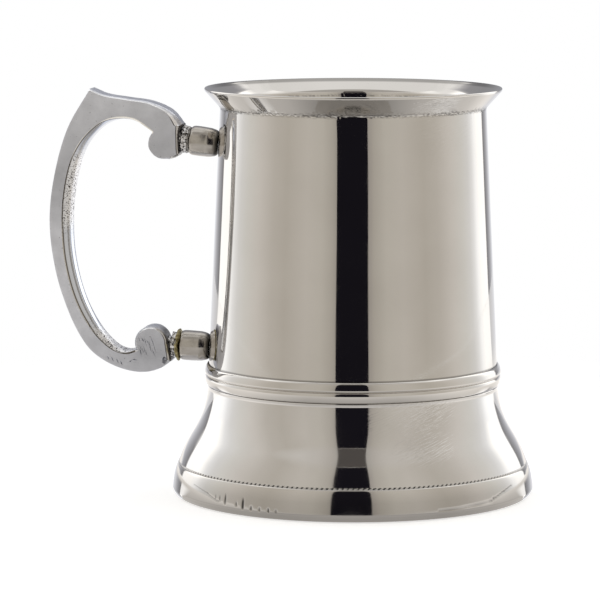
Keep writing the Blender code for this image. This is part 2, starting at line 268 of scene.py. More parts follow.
# Metal colours, light and dark
WALL_TONES = (0.665, 0.64, 0.605), (0.63, 0.605, 0.57)
SKIRT_TONES = (0.70, 0.68, 0.655), (0.645, 0.625, 0.60)
FOOT_TONES = (0.665, 0.64, 0.605), (0.61, 0.585, 0.55)
SEAM_TONES = (0.62, 0.60, 0.57), (0.54, 0.52, 0.49)
SHEET_TONES = (0.60, 0.59, 0.57), (0.52, 0.51, 0.49)
WELD_TONES = (0.78, 0.77, 0.76), (0.06, 0.055, 0.05)
CAST_FLAT = (0.84, 0.857, 0.918)
# Painted highlight: a brighter copy of the casting's metal for the front half of its bevels, also used for
# the sandy skin
CAST_EDGE = (0.98, 0.98, 0.99)
# Painted shade: a darker copy of the casting's metal for its recesses
CAST_RECESS = (0.70, 0.70, 0.73)
RECESS_SHADE = (0.22, 0.21, 0.20)
FERRULE_STREAKS = [(0.3, (0.41, 0.38, 0.34)), (0.48, (0.49, 0.46, 0.42)), (0.7, (0.545, 0.515, 0.475))]

# The casting's inner face from front to back, where buffed and where sandy, with painted highlights and a
# painted dark edge line
SKIN_EDGE_SHADE = (0.17, 0.15, 0.13)
SKIN_GREY = (0.67, 0.695, 0.75)
SKIN_HIGHLIGHT = (0.97, 0.95, 0.90)
SKIN_BUFFED = [
    (0.008, SKIN_HIGHLIGHT), (0.013, SKIN_EDGE_SHADE), (0.026, SKIN_EDGE_SHADE), (0.034, SKIN_GREY),
    (0.5, SKIN_GREY), (0.55, SKIN_HIGHLIGHT),
]
SKIN_SANDY = [(0.012, SKIN_EDGE_SHADE), (0.024, CAST_EDGE)]
SKIN_HOLE = (0.09, 0.08, 0.08)
SKIN_BACK_SHADE = (0.26, 0.24, 0.22)

# Patches of fine scratches, as centre, angle in degrees and strength, and how far they reach
WALL_HAIRLINES = ((0.0286, -0.0270, 0.1105), -8, 0.30)
SKIRT_HAIRLINES = ((0.0253, -0.0360, 0.0272), -17, 0.55)
HAIRLINE_REACH = (0.004, 0.017)

# The foot's painted shade by height, darkest just above its underside, as (metres, share)
FOOT_SHADES = [(0, 1.0), (0.0019, 1.0), (0.0022, 0.78), (0.0055, 0.83), (0.0085, 1.0)]

CUP_STEPS = 288


# Node helpers

def feed(tree, socket, value):
    """Sets a socket, or links another node's output to it."""
    if isinstance(value, bpy.types.NodeSocket):
        tree.links.new(value, socket)
    else:
        socket.default_value = value


def node(tree, kind, inputs, **settings):
    """The outputs of a new node."""
    made = tree.nodes.new("ShaderNode" + kind)
    for key, value in settings.items():
        setattr(made, key, value)
    for key, value in inputs.items():
        feed(tree, made.inputs[key], value)
    return made.outputs


def spot(tree):
    """The place in object space."""
    return node(tree, "TexCoord", {})["Object"]


def position(tree):
    """The place in object space, as X, Y and Z."""
    return node(tree, "SeparateXYZ", {"Vector": spot(tree)})


def calc(tree, operation, *values):
    return node(tree, "Math", dict(enumerate(values)), operation=operation)[0]


def remap(tree, source, low, high, to_low=0, to_high=1):
    ends = {"From Min": low, "From Max": high, "To Min": to_low, "To Max": to_high}
    return node(tree, "MapRange", {"Value": source, **ends})["Result"]


def clouds(tree, place, scale, detail):
    return node(tree, "TexNoise", {"Vector": place, "Scale": scale, "Detail": detail})["Fac"]


def grain(tree, scale, detail, stretch=(1, 1, 1), rotation=(0, 0, 0)):
    """Noise in object space. The scale is in cycles per metre."""
    inputs = {"Vector": spot(tree), "Scale": stretch, "Rotation": rotation}
    return clouds(tree, node(tree, "Mapping", inputs)["Vector"], scale, detail)


def unrolled(tree, angle):
    """Noise on the surface laid out flat round the axis, along the turn and up, turned by the angle."""
    at = position(tree)
    turn = remap(tree, calc(tree, "ARCTAN2", at["Y"], at["X"]), -pi, pi, -0.15, 0.15)
    flat = node(tree, "CombineXYZ", {"X": turn, "Z": at["Z"]})["Vector"]
    inputs = {"Vector": flat, "Rotation": (0, angle, 0), "Scale": (1 / 170, 1, 1 / 3000)}
    return clouds(tree, node(tree, "Mapping", inputs, vector_type="TEXTURE")["Vector"], 1.0, 2.0)


def near(tree, centre, inner, outer):
    """One near the given point, fading to nothing."""
    apart = node(tree, "VectorMath", {0: spot(tree), 1: centre}, operation="DISTANCE")["Value"]
    return remap(tree, apart, inner, outer, 1.0, 0.0)


def stored(tree, name):
    return node(tree, "Attribute", {}, attribute_name=name)["Fac"]


def tint(tree, source, stops):
    ramp = tree.nodes.new("ShaderNodeValToRGB")
    elements = ramp.color_ramp.elements
    while len(elements) > 1:
        elements.remove(elements[-1])
    elements[0].position = stops[0][0]
    elements[0].color = (*stops[0][1], 1)
    for share, colour in stops[1:]:
        elements.new(share).color = (*colour, 1)
    tree.links.new(source, ramp.inputs["Fac"])
    return ramp.outputs["Color"]


def blend(tree, factor, first, second, kind="MIX"):
    inputs = {"Factor": factor, "A": first, "B": second}
    return node(tree, "Mix", inputs, data_type="RGBA", blend_type=kind)["Result"]


def stain(tree, colour, share, shade, clear=0.0, full=1.0):
    """The colour times the shade where the share is full, fading to where it is clear."""
    shades = sorted([(clear, (1.0,) * 3), (full, shade)])
    return blend(tree, 1.0, colour, tint(tree, share, shades), "MULTIPLY")


def shade_by_height(tree, colour, stops):
    """The colour darkened by height, a painted shade, from stops of (metres, share)."""
    first, last = stops[0][0], stops[-1][0]
    share = remap(tree, position(tree)["Z"], first, last)
    shades = [((height - first) / (last - first), (value,) * 3) for height, value in stops]
    return blend(tree, 1.0, colour, tint(tree, share, shades), "MULTIPLY")


def bump(tree, height, strength, distance, under=None):
    inputs = {"Height": height, "Strength": strength, "Distance": distance}
    if under:
        inputs["Normal"] = under
    return node(tree, "Bump", inputs)["Normal"]


def new_material(name):
    material = bpy.data.materials.new(name)
    material.use_nodes = True
    return material, material.node_tree


def surface(material, values):
    """Sets or links the inputs of the material's own shader."""
    tree = material.node_tree
    for name, value in values.items():
        feed(tree, tree.nodes["Principled BSDF"].inputs[name], value)
    return material


def metal(material, colour, rough, normal):
    return surface(material, {"Metallic": 1.0, "Base Color": colour, "Roughness": rough, "Normal": normal})


# Metals

def polished_steel(name, tones, roughness, shade=None, hairlines=None, shade_and_dirt=None):
    """Mirror polish with smudges and fine turning lines.

    The options are shade, painted shade by height, hairlines, a patch of scratches as its centre,
    angle and strength, and shade_and_dirt, how much darker the places are that the mesh marks: painted shade,
    and darker crust and marks.
    """
    material, tree = new_material(name)
    light, dark = tones
    colour = tint(tree, grain(tree, 55, 4.0), [(0.3, dark), (0.7, light)])
    if shade:
        colour = shade_by_height(tree, colour, shade)
    if shade_and_dirt:
        colour = stain(tree, colour, stored(tree, "shade_and_dirt"), (shade_and_dirt,) * 3, 0.1, 0.7)
    rough = remap(tree, grain(tree, 130, 5.0), 0.35, 0.75, roughness, roughness * 2.2)
    relief = bump(tree, grain(tree, 1.0, 2.0, stretch=(90, 90, 3800)), 0.03, 0.00002)
    if hairlines:
        centre, angle, strength = hairlines
        scratch = remap(tree, unrolled(tree, radians(angle)), 0.44, 0.64)
        patch = calc(tree, "MULTIPLY", scratch, near(tree, centre, *HAIRLINE_REACH))
        relief = bump(tree, patch, strength, 0.00008, relief)
    return metal(material, colour, rough, relief)


def ferrule_steel(name):
    """Polished barrel with faint streaks along it, with painted shade towards its ends and underneath."""
    material, tree = new_material(name)
    streaks = grain(tree, 1.0, 4.0, stretch=(520, 520, 170))
    colour = shade_by_height(tree, tint(tree, streaks, FERRULE_STREAKS), FERRULE_END_SHADE)
    # Painted shade on the underside.
    underside_shade = remap(tree, position(tree)["Y"], 0.001, -0.0025)
    colour = stain(tree, colour, underside_shade, (0.82,) * 3)
    rough = remap(tree, grain(tree, 700, 4.0), 0.3, 0.7, 0.12, 0.26)
    lines = grain(tree, 1.0, 2.0, stretch=(200, 200, 5200))
    return metal(material, colour, rough, bump(tree, lines, 0.08, 0.00004))


def cast_satin(name, roughness, light, shades=None, shade_and_dirt_marks=()):
    """The casting's linished flats, its buffed edges with a painted highlight, or its recesses with painted
    shade.

    The options are shades, painted light and shade by height and near the scroll, and
    shade_and_dirt_marks, painted shade near some points, each with the two distances over which it fades.
    """
    material, tree = new_material(name)
    dark = tuple(0.84 * c for c in light)
    colour = tint(tree, grain(tree, 210, 6.0), [(0.3, dark), (0.7, light)])
    if shades:
        colour = shade_by_height(tree, colour, shades)
        # Painted shade round the scroll.
        scroll = Vector((-SCROLL_CENTRE[0], -HANDLE_HALF, SCROLL_CENTRE[1])) * MM
        colour = stain(tree, colour, near(tree, scroll, 0.003, 0.009), (0.88,) * 3)
    for centre, inner, outer in shade_and_dirt_marks:
        colour = stain(tree, colour, near(tree, centre, inner, outer), RECESS_SHADE)
    colour = stain(tree, colour, grain(tree, 1500, 1.0), (0.45,) * 3, 0.30, 0.22)
    lines = grain(tree, 1.0, 3.0, stretch=(700, 500, 4600), rotation=(0, 0.9, 0))
    rough = remap(tree, lines, 0.3, 0.7, roughness, roughness * 1.45)
    relief = bump(tree, lines, 0.3, 0.00009)
    relief = bump(tree, grain(tree, 3600, 3.0), 0.2, 0.00007, relief)
    return metal(material, colour, rough, relief)


def cast_skin(name):
    """The casting's inner face: sandy and pitted where the mesh says so, buffed between, painted shade
    behind.

    A painted dark line runs along its front edge, with painted highlights beside it and near the back.
    """
    material, tree = new_material(name)
    sand = stored(tree, "pitting")
    depth = position(tree)["Y"]
    half = HANDLE_HALF * MM
    across = remap(tree, depth, -half, half)
    colour = blend(tree, remap(tree, sand, 0.2, 0.7), tint(tree, across, SKIN_BUFFED),
                   tint(tree, across, SKIN_SANDY))
    pits = grain(tree, 2300, 2.0)
    holes = calc(tree, "MULTIPLY", remap(tree, pits, 0.45, 0.37), sand)
    colour = stain(tree, colour, holes, SKIN_HOLE, 0.0, 0.8)
    # Painted shade on the face's back half.
    front = remap(tree, depth, 0.0003, 0.0018, 1, 0)
    colour = stain(tree, colour, front, SKIN_BACK_SHADE, 1.0, 0.0)
    rough = remap(tree, calc(tree, "MULTIPLY", sand, front), 0, 1, 0.12, 0.4)
    relief = bump(tree, grain(tree, 1.0, 3.0, stretch=(900, 500, 900)), 0.12, 0.00005)
    relief = bump(tree, calc(tree, "MULTIPLY", pits, sand), 0.7, 0.0002, relief)
    return metal(material, colour, rough, relief)


def crusted(name, tones, spread, scale, detail, roughness, relief):
    """Rough metal whose colour, gloss and relief follow one grain."""
    material, tree = new_material(name)
    crust = grain(tree, scale, detail)
    light, dark = tones
    colour = tint(tree, crust, [(spread[0], dark), (spread[1], light)])
    rough = remap(tree, crust, 0.3, 0.7, *roughness)
    return metal(material, colour, rough, bump(tree, crust, *relief))


def cast_weld(name):
    """Coarse bright grains, dark between them."""
    return crusted(name, WELD_TONES, (0.38, 0.54), 1400, 2.0, (0.35, 0.14), (0.7, 0.0003))


def braze_metal(name, tones):
    return crusted(name, tones, (0.35, 0.65), 900, 4.0, (0.5, 0.25), (0.4, 0.0001))


# Shape helpers

def arc(centre, radii, start, end, count):
    angles = [radians(start + (end - start) * i / (count - 1)) for i in range(count)]
    return [(centre[0] + radii[0] * cos(a), centre[1] + radii[1] * sin(a)) for a in angles]


def bezier(start, start_handle, end_handle, end, count):
    knots = [Vector((*point, 0)) for point in (start, start_handle, end_handle, end)]
    return [point.xy[:] for point in interpolate_bezier(*knots, count)]


def chain(curves):
    """Curves joined end to end: a start, then two handles, an end and a count of points for each."""
    points = [curves[0]]
    for first, second, end, count in curves[1:]:
        points += bezier(points[-1], first, second, end, count)[1:]
    return points


def straight(start, end, count):
    first, last = Vector(start), Vector(end)
    return [first.lerp(last, i / (count - 1))[:] for i in range(count)]


def inward(profile, depth):
    """The same line moved to its inner side, for a profile that runs downwards."""
    moved = []
    for i, point in enumerate(profile):
        before = Vector(profile[max(i - 1, 0)])
        after = Vector(profile[min(i + 1, len(profile) - 1)])
        along = (after - before).normalized()
        moved.append((point[0] + along.y * depth, point[1] - along.x * depth))
    return moved


def lean_profile(start, leans, step=0.35):
    """A line down from the start whose lean from upright, in degrees, follows the list of (height, lean)."""
    span = leans[0][0] - leans[-1][0]
    count = round(span / step)
    step = span / count
    heights = [leans[0][0] - i * step for i in range(count + 1)]
    angles = []
    for height in heights:
        for (upper, first), (lower, second) in zip(leans, leans[1:]):
            if upper >= height >= lower - 1e-6:
                angles.append(first + (second - first) * (upper - height) / (upper - lower))
                break
    for _ in range(3):
        padded = angles[:1] * 2 + angles + angles[-1:] * 2
        angles = [sum(padded[i:i + 5]) / 5 for i in range(len(angles))]
    profile = [start]
    for i in range(count):
        lean = radians((angles[i] + angles[i + 1]) / 2)
        profile.append((profile[-1][0] + step * tan(lean), heights[i + 1]))
    return profile


def clamp(value):
    return min(max(value, 0), 1)


def degrees_aside(turn):
    """The turn from the camera's side."""
    return degrees((turn - FACING + pi) % (2 * pi) - pi)


def to_mesh(name, bm, solid=True):
    if solid:
        bmesh.ops.recalc_face_normals(bm, faces=bm.faces)
    mesh = bpy.data.meshes.new(name)
    bm.to_mesh(mesh)
    bm.free()
    return mesh


def add_object(name, data):
    piece = bpy.data.objects.new(name, data)
    bpy.context.scene.collection.objects.link(piece)
    return piece


def show(name, mesh, materials, replaces=None, place=None):
    piece = add_object(name, mesh)
    for material in materials:
        mesh.materials.append(material)
    if place is not None:
        piece.matrix_world = place
    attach(piece, "root")
    if replaces:
        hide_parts(replaces)


def lathe(name, profile, steps, wobble, sharp, material, replaces=None, place=None,
          shade_and_dirt=None):
    """Shows a closed profile swept round Z and moved by the wobble, with its painted shade and darkened marks
    stored at its points.
    """
    turns = [2 * pi * step / steps for step in range(steps)]
    bm = bmesh.new()
    rings = []
    for turn in turns:
        x, y = cos(turn) * MM, sin(turn) * MM
        moved = [wobble(*point, turn) for point in profile]
        rings.append([bm.verts.new((radius * x, radius * y, height * MM)) for radius, height in moved])
    for here, there in zip(rings, rings[1:] + rings[:1]):
        for i in range(len(profile)):
            bm.faces.new((here[i - 1], here[i], there[i], there[i - 1]))
    mesh = to_mesh(name, bm)
    mesh.shade_smooth()
    mesh.set_sharp_from_angle(angle=radians(sharp))
    if shade_and_dirt:
        values = [shade_and_dirt(*point, turn) for turn in turns for point in profile]
        mesh.attributes.new("shade_and_dirt", "FLOAT", "POINT").data.foreach_set("value", values)
    show(name, mesh, [material], replaces, place)


def spun(amount):
    """The slight waves of spun sheet."""
    def wobble(radius, height, turn):
        wave = sin(3 * turn + height * 0.05) + 0.6 * sin(7 * turn - height * 0.11 + 1.0)
        wave += 0.5 * sin(height * 0.35 + 2 * turn)
        return radius + amount * wave, height
    return wobble


# Turned pieces

def wall_radius(height):
    return WALL_TOP_RADIUS + (CREASE - height) * WALL_SLOPE


def wall_line(top, bottom, count, depth=0.0):
    """A line along the wall, at a depth below its surface."""
    return straight((wall_radius(top) - depth, top), (wall_radius(bottom) - depth, bottom), count)


def make_cup_wall(material):
    neck = SEAT_TOP + 2 * GAP
    rim = bezier(*RIM_INSIDE, 7)
    rim += arc((RIM_RADIUS - RIM_ROUND, HEIGHT - RIM_ROUND), (RIM_ROUND, RIM_ROUND), 82, -40, 9)
    lip = straight((RIM_RADIUS - 0.12, HEIGHT - RIM_BAND - 0.05), (WALL_TOP_RADIUS + 0.8, CREASE + 0.86), 7)
    lip += straight((WALL_TOP_RADIUS + 0.65, CREASE + 0.70), (WALL_TOP_RADIUS + 0.25, CREASE + 0.27), 5)
    turn = bezier(lip[-1], (WALL_TOP_RADIUS + 0.06, CREASE + 0.07), (WALL_TOP_RADIUS, CREASE),
                  (wall_radius(CREASE - 0.7), CREASE - 0.7), 10)
    side = wall_line(CREASE - 1.0, 40.3, 24) + wall_line(39.6, neck, 7)
    seat = [(SEAT_RADIUS, SEAT_TOP), (SEAT_RADIUS, WALL_END_HEIGHT)]
    inner_side = [(radius - SHEET, height) for radius, height in seat[::-1]]
    inner_side += wall_line(neck, THROAT_START, 12, SHEET)
    throat = bezier(inner_side[-1], *THROAT_LOW, 8)
    throat += straight(throat[-1], THROAT_MIDDLE, 4)[1:]
    throat += bezier(throat[-1], *THROAT_HIGH, 10)[1:]
    mouth = straight(throat[-1], rim[0], 4)
    profile = rim + lip + turn[1:] + side + seat + inner_side + throat[1:] + mouth[1:-1]
    waves = spun(0.010)

    def crumbs(radius, height, turn):
        """How rough the filed crease and the rim's lower edge are."""
        if radius < WALL_TOP_RADIUS - 0.1:
            return 0.0, 0.0
        patch = 0.75 + 0.5 * noise.noise(Vector((turn * 4, 3.3, 0)))
        at = Vector((turn * 39 / 0.8, height / 0.35, 0))
        on_crease = patch * exp(-((height - CREASE - 0.2) / 0.75) ** 2)
        on_rim = exp(-((height - HEIGHT + 0.75) / 0.3) ** 2) if radius > 43.2 else 0.0
        return noise.fractal(at, 0.8, 2.0, 2), on_crease + 0.08 * on_rim

    def filed(radius, height, turn):
        out, up = waves(radius, height, turn)
        crust, amount = crumbs(radius, height, turn)
        return out + 0.14 * amount * crust, up

    def painted_shade(radius, height, turn):
        """How much painted shade darkens the lip's front underside, the rim's top behind and the wall above
        the ring.
        """
        front = cos(turn - FACING)
        if (radius, height) in lip:
            return 0.34 * clamp((front - 0.25) / 0.35)
        if (radius, height) in rim[:8]:
            return 0.5 * clamp((-front - 0.1) / 0.3)
        return 0.5 if radius >= SEAT_RADIUS and height < WALL_SHADE_HEIGHT else 0.0

    # Painted shade, and darker spots where the filed crease and the rim's lower edge sink in.
    def shade_and_dirt_marks(radius, height, turn):
        crust, amount = crumbs(radius, height, turn)
        return max(painted_shade(radius, height, turn), amount * (0.72 - 0.9 * crust))

    lathe("cup_wall_spun", profile, WALL_STEPS, filed, 30, material, "cup_wall", shade_and_dirt=shade_and_dirt_marks)


def make_belt_ring(material):
    front = chain(UPPER_BEAD) + BEAD_GROOVE + chain(LOWER_BEAD)
    back = [(SEAT_RADIUS + GAP, 33.4), (SEAT_RADIUS + GAP, SEAT_TOP), (42.7, SEAT_TOP + 2 * GAP)]
    lathe("belt_ring_rolled", front + back, CUP_STEPS, spun(0.006), 50, material, "belt_ring")


def make_base_skirt(material):
    neck = arc((42.74, 32.32), (0.28, 0.28), 90, -35, 7)
    flare = lean_profile(SKIRT_TOP, SKIRT_LEANS)
    inside = inward(flare, SHEET)
    collar = [(SEAT_RADIUS - SHEET, SKIRT_TOP[1]), (SEAT_RADIUS - SHEET, WALL_END_HEIGHT - GAP)]
    collar += [(SEAT_RADIUS, WALL_END_HEIGHT - GAP), (SEAT_RADIUS, 32.6)]
    profile = neck + flare + inside[::-1] + collar
    lathe("base_skirt_spun", profile, CUP_STEPS, spun(0.012), 30, material, "base_skirt")


def tool_marks(turn, height):
    """How deep the foot's tool marks are here, at degrees from the camera's side."""
    deep = 0.0
    for place, middle, reach, depth in FOOT_MARKS:
        across = radians(turn - place) * 53 / 0.26
        along = (height - middle) / reach
        if abs(across) < 3 and abs(along) < 1:
            deep += depth * exp(-across * across) * (1 - along * along) * (1 - 0.5 * along)
    return deep


def scratches(turn, height):
    """How deep the foot's scratches are here, at degrees from the camera's side."""
    deep = 0.0
    for depth, line in FOOT_SCRATCHES:
        for (first, start), (last, end) in zip(line, line[1:]):
            if min(first, last) - 1 < turn < max(first, last) + 1:
                apart = start + (end - start) * clamp((turn - first) / (last - first)) - height
                deep = max(deep, depth * exp(-(apart / 0.22) ** 2))
    return deep


def make_foot_band(material):
    top = arc(FOOT_TOP, (FOOT_ROUND, FOOT_ROUND), 125, 50, 7)
    side = chain([top[-1]] + FOOT_SIDE)
    under = bezier(side[-1], *FOOT_UNDER, 7)
    back = inward(side[6:], SHEET)
    profile = top + side[1:] + under[1:] + FOOT_LIP + back[::-1]
    waves = spun(0.012)

    def struck(radius, height, turn):
        aside = degrees_aside(turn)
        return max(tool_marks(aside, height), scratches(aside, height)) if radius >= 51.9 else 0.0

    def marked(radius, height, turn):
        out, up = waves(radius, height, turn)
        return out - 0.45 * struck(radius, height, turn), up

    def shade_and_dirt_marks(*at):
        return 5 * struck(*at)

    lathe("foot_band_rolled", profile, FOOT_STEPS, marked, 24, material, "foot_band", shade_and_dirt=shade_and_dirt_marks)


def make_knurl(material):
    """The slanted knurling that locks the band onto the skirt; painted shade in its grooves fades out at the
    sides.
    """
    middle, level = KNURL_CENTRE

    def cut(height, turn):
        return max(0.0, cos(KNURL_MARKS * turn - 3.2 * (height - level))) ** 1.3

    def twist(reach, height, turn):
        return middle + (reach - middle) * (1 - 0.75 * cut(height, turn)), height

    # Painted shade in the grooves, faded out where the seam turns to the sides, away from the camera.
    def shade_and_dirt_marks(_, height, turn):
        lit_aside = exp(-((abs(degrees_aside(turn)) - 78) / 16) ** 2)
        return cut(height, turn) * (1 - 0.85 * lit_aside)

    profile = arc(KNURL_CENTRE, KNURL_RADII, 0, 360 / KNURL_SECTION - 360, KNURL_SECTION)
    lathe("knurled_seam", profile, KNURL_STEPS, twist, 180, material, shade_and_dirt=shade_and_dirt_marks)


# Handle

def smooth_run(points, spacing):
    """An evenly stepped curve through the points, each (reach, height, rounding), without the last."""
    knots = [Vector(point) for point in points]
    ahead = knots[1:] + [knots[-1]]
    behind = [knots[0]] + knots[:-1]
    slopes = [(b - a).normalized() for a, b in zip(behind, ahead)]
    curve = []
    for i in range(len(knots) - 1):
        span = (knots[i + 1] - knots[i]).length
        handles = knots[i] + slopes[i] * span / 3, knots[i + 1] - slopes[i + 1] * span / 3
        steps = max(3, round(span / spacing))
        curve += interpolate_bezier(knots[i], *handles, knots[i + 1], steps + 1)[:-1]
    return curve


def handle_outline():
    """Mid-thickness outline, anticlockwise in (reach, height), with the kind of surface at each point."""
    scroll = arc(SCROLL_CENTRE, (SCROLL_RADIUS, SCROLL_RADIUS), SCROLL_START, 180, 44)
    scroll = [Vector((*point, 0.6)) for point in scroll]
    runs = [
        ("ground", smooth_run(OUTER_RUN, 0.6)),
        ("bevelled", smooth_run(TOP_RUN, 0.5)),
        ("recess", smooth_run(LUG_SIDE, 0.3)),
        ("weld", smooth_run(LUG_UNDERSIDE, 0.25)),
        ("ground", smooth_run(LOBE_RUN, 0.4)),
        ("inner", smooth_run(INNER_RUN + [scroll[0][:]], 0.3)),
        ("bevelled", scroll[:29]),
        ("recess", scroll[29:-1]),
        ("recess", smooth_run([scroll[-1][:], HEEL], 0.3)),
    ]
    return [point for _, run in runs for point in run], [kind for kind, run in runs for _ in run]


def edge_inset(depth, rounding, kind):
    """How far the edge stands in at a share of the half thickness."""
    share = abs(depth)
    if kind in ("bevelled", "recess"):
        return rounding * max(0, (share - 1) * HANDLE_HALF / rounding + 1)
    power = 8 if kind == "inner" else 8 - 4.5 * clamp(rounding - 0.5)
    rolled = 1 - (1 - share ** power) ** (1 / power)
    if kind != "inner":
        return rounding * rolled
    corner = max((share - 0.45) / 0.55, 0)
    full = (0.19 * (sqrt(share * share + 0.01) - 0.1) + 0.15 * share ** 2 + 0.403 * corner ** 3) / 0.725
    mix = clamp((1.5 - rounding) / 0.9)
    return rounding * (full + (rolled - full) * mix)


def pitting(height):
    """Where the inner face is left as cast."""
    upper = 1 / (1 + exp((abs(height - 89) - 10) / 2.0))
    lower = 1 / (1 + exp((height - 47) / 1.5))
    return max(upper, lower)


def skin(point, kind, height):
    """How far the as-cast skin stands off, in millimetres."""
    at = Vector(point)
    if kind == "weld":
        return 0.30 * noise.fractal(at * 1.6, 0.8, 2.1, 3) - 0.12
    deep = 0.05 + 0.95 * pitting(height)
    sand = noise.fractal(at * 1.6, 0.9, 2.1, 3)
    hole = noise.noise(at * 1.25 + Vector((7, 3, 1)))
    return 0.05 * sand * deep - 0.3 * deep * max(hole - 0.24, 0)


def untangle(points, outline):
    """Draws together points that crossed where the inset closes a corner."""
    for _ in range(60):
        crossed = False
        for i in range(len(points)):
            ahead = points[i] - points[i - 1]
            if ahead.dot((outline[i] - outline[i - 1]).xy) < 0:
                points[i - 1] = points[i] = (points[i] + points[i - 1]) / 2
                crossed = True
        if not crossed:
            break
    return points


def close_ring(bm, ring):
    """Fills a flat ring of the casting."""
    flat = [Vector((vert.co.x, vert.co.z)) / MM for vert in ring]
    points, _, faces, origins, _, _ = delaunay_2d_cdt(flat, [], [list(range(len(flat)))], 1, 1e-7)
    depth = ring[0].co.y
    verts = []
    for point, origin in zip(points, origins):
        verts.append(ring[origin[0]] if origin else bm.verts.new((point.x * MM, depth, point.y * MM)))
    for face in faces:
        if len({verts[i] for i in face}) == len(face):
            bm.faces.new([verts[i] for i in face])


def dent_cutter():
    """Blow holes, grinding marks and scratches to cut from the casting's front, as one mesh."""
    bm = bmesh.new()
    front = -HANDLE_HALF

    def cut(reach, height, length, width, depth, angle):
        spin = Matrix.Rotation(radians(angle), 3, "Y")
        tips = [(length, 0, 0), (0, 0, width), (-length, 0, 0), (0, 0, -width)]
        middle = Vector((-reach, front - 0.02, height))
        verts = [bm.verts.new((spin @ Vector(tip) + middle) * MM) for tip in tips]
        ends = [bm.verts.new(Vector((-reach, front + y, height)) * MM) for y in (depth, -0.4)]
        for i in range(4):
            bm.faces.new((verts[i - 1], verts[i], ends[0]))
            bm.faces.new((verts[i], verts[i - 1], ends[1]))

    draw = random.Random(5)
    for _ in range(17):
        reach = SCROLL_CENTRE[0] + draw.uniform(-1.5, 3.6)
        height = SCROLL_CENTRE[1] + draw.uniform(-3.0, 1.6)
        cut(reach, height, draw.uniform(0.9, 2.0), draw.uniform(0.07, 0.11), 0.18, 70 + draw.uniform(-6, 6))
    for reach, height, length, angle in GRINDER_MARKS:
        cut(reach, height, length, 0.19, 0.30, angle)
    for reach, height, size, depth in BLOW_HOLES:
        made = bmesh.ops.create_icosphere(bm, subdivisions=3, radius=MM)
        for vert in made["verts"]:
            rough = 1 + 0.25 * noise.noise(vert.co * 2200 + Vector((reach, 0, 0)))
            vert.co = Vector((vert.co.x * size[0], vert.co.y * depth, vert.co.z * size[1])) * rough
            vert.co += Vector((-reach, front, height)) * MM
    return to_mesh("dents", bm)


def carve(mesh, cutter):
    """The mesh with the cutter taken away."""
    whole = add_object("whole", mesh)
    knife = add_object("knife", cutter)
    step = whole.modifiers.new("cut", "BOOLEAN")
    step.operation = "DIFFERENCE"
    step.solver = "EXACT"
    step.use_self = True
    step.object = knife
    ready = whole.evaluated_get(bpy.context.evaluated_depsgraph_get())
    carved = bpy.data.meshes.new_from_object(ready)
    bpy.data.objects.remove(whole)
    bpy.data.objects.remove(knife)
    return carved


def sharpen_between(mesh, pairs):
    """Makes the edges between such pairs of materials sharp."""
    bm = bmesh.new()
    bm.from_mesh(mesh)
    for edge in bm.edges:
        if {face.material_index for face in edge.link_faces} in pairs:
            edge.smooth = False
    bm.to_mesh(mesh)
    bm.free()


def make_handle(materials):
    outline, kinds = handle_outline()
    after = outline[1:] + outline[:1]
    before = outline[-1:] + outline[:-1]
    along = [(b - a).xy.normalized() for a, b in zip(before, after)]
    shares = [0.0, 0.06, 0.12, 0.2, 0.3, 0.4, 0.5, 0.58, 0.66, 0.73, 0.79, 0.84, 0.88, 0.915, 0.945, 0.968,
              0.985, 0.995, 1.0]
    depths = [-share for share in shares[:0:-1]] + shares
    bm = bmesh.new()
    pits = bm.verts.layers.float.new("pitting")

    def ring_at(depth, extra):
        points = []
        for point, tangent, kind in zip(outline, along, kinds):
            inset = edge_inset(depth, point.z, kind) + extra
            place = point.xy + Vector((-tangent.y, tangent.x)) * inset
            if kind in ("inner", "weld") and not extra and abs(depth) < 0.96:
                fade = min(1, (0.96 - abs(depth)) * 10)
                if kind == "inner":
                    fade *= clamp((point.z - 0.6) / 0.8)
                push = skin((place.x, depth * HANDLE_HALF, place.y), kind, point.y) * fade
                place += Vector((tangent.y, -tangent.x)) * push
            points.append(place)
        ring = []
        for place, kind in zip(untangle(points, outline), kinds):
            vert = bm.verts.new((-place.x * MM, depth * HANDLE_HALF * MM, place.y * MM))
            vert[pits] = pitting(place.y) if kind == "inner" else 0.0
            ring.append(vert)
        return ring

    layers = [(-1.0, 0.3)] + [(depth, 0.0) for depth in depths] + [(1.0, 0.3)]
    rings = [ring_at(depth, extra) for depth, extra in layers]
    index = {"ground": 0, "bevelled": 0, "inner": 1, "weld": 2, "recess": 4}
    for here, there, (depth, extra), (deeper, more) in zip(rings, rings[1:], layers, layers[1:]):
        middle = abs(depth + deeper) / 2
        for i in range(len(outline)):
            face = bm.faces.new((here[i - 1], here[i], there[i], there[i - 1]))
            cut = kinds[i] in ("bevelled", "recess")
            # Material 3 is the painted highlight on the bevels' front half; material 4 the recesses' painted
            # shade.
            if extra or more:
                face.material_index = 4 if cut and outline[i].z > 0.9 or kinds[i] == "recess" else 0
            elif cut and middle > 1 - 0.45 * outline[i].z / HANDLE_HALF:
                face.material_index = 3
            else:
                face.material_index = index[kinds[i]]
    close_ring(bm, rings[0])
    close_ring(bm, rings[-1])
    bmesh.ops.remove_doubles(bm, verts=bm.verts, dist=1e-7)
    mesh = carve(to_mesh("handle_uncut", bm), dent_cutter())
    mesh.name = "handle_cast"
    mesh.shade_smooth()
    mesh.set_sharp_from_angle(angle=radians(35))
    sharpen_between(mesh, ({0, 1}, {0, 3}, {3, 4}, {0, 4}))
    show("handle_cast", mesh, materials, "handle")


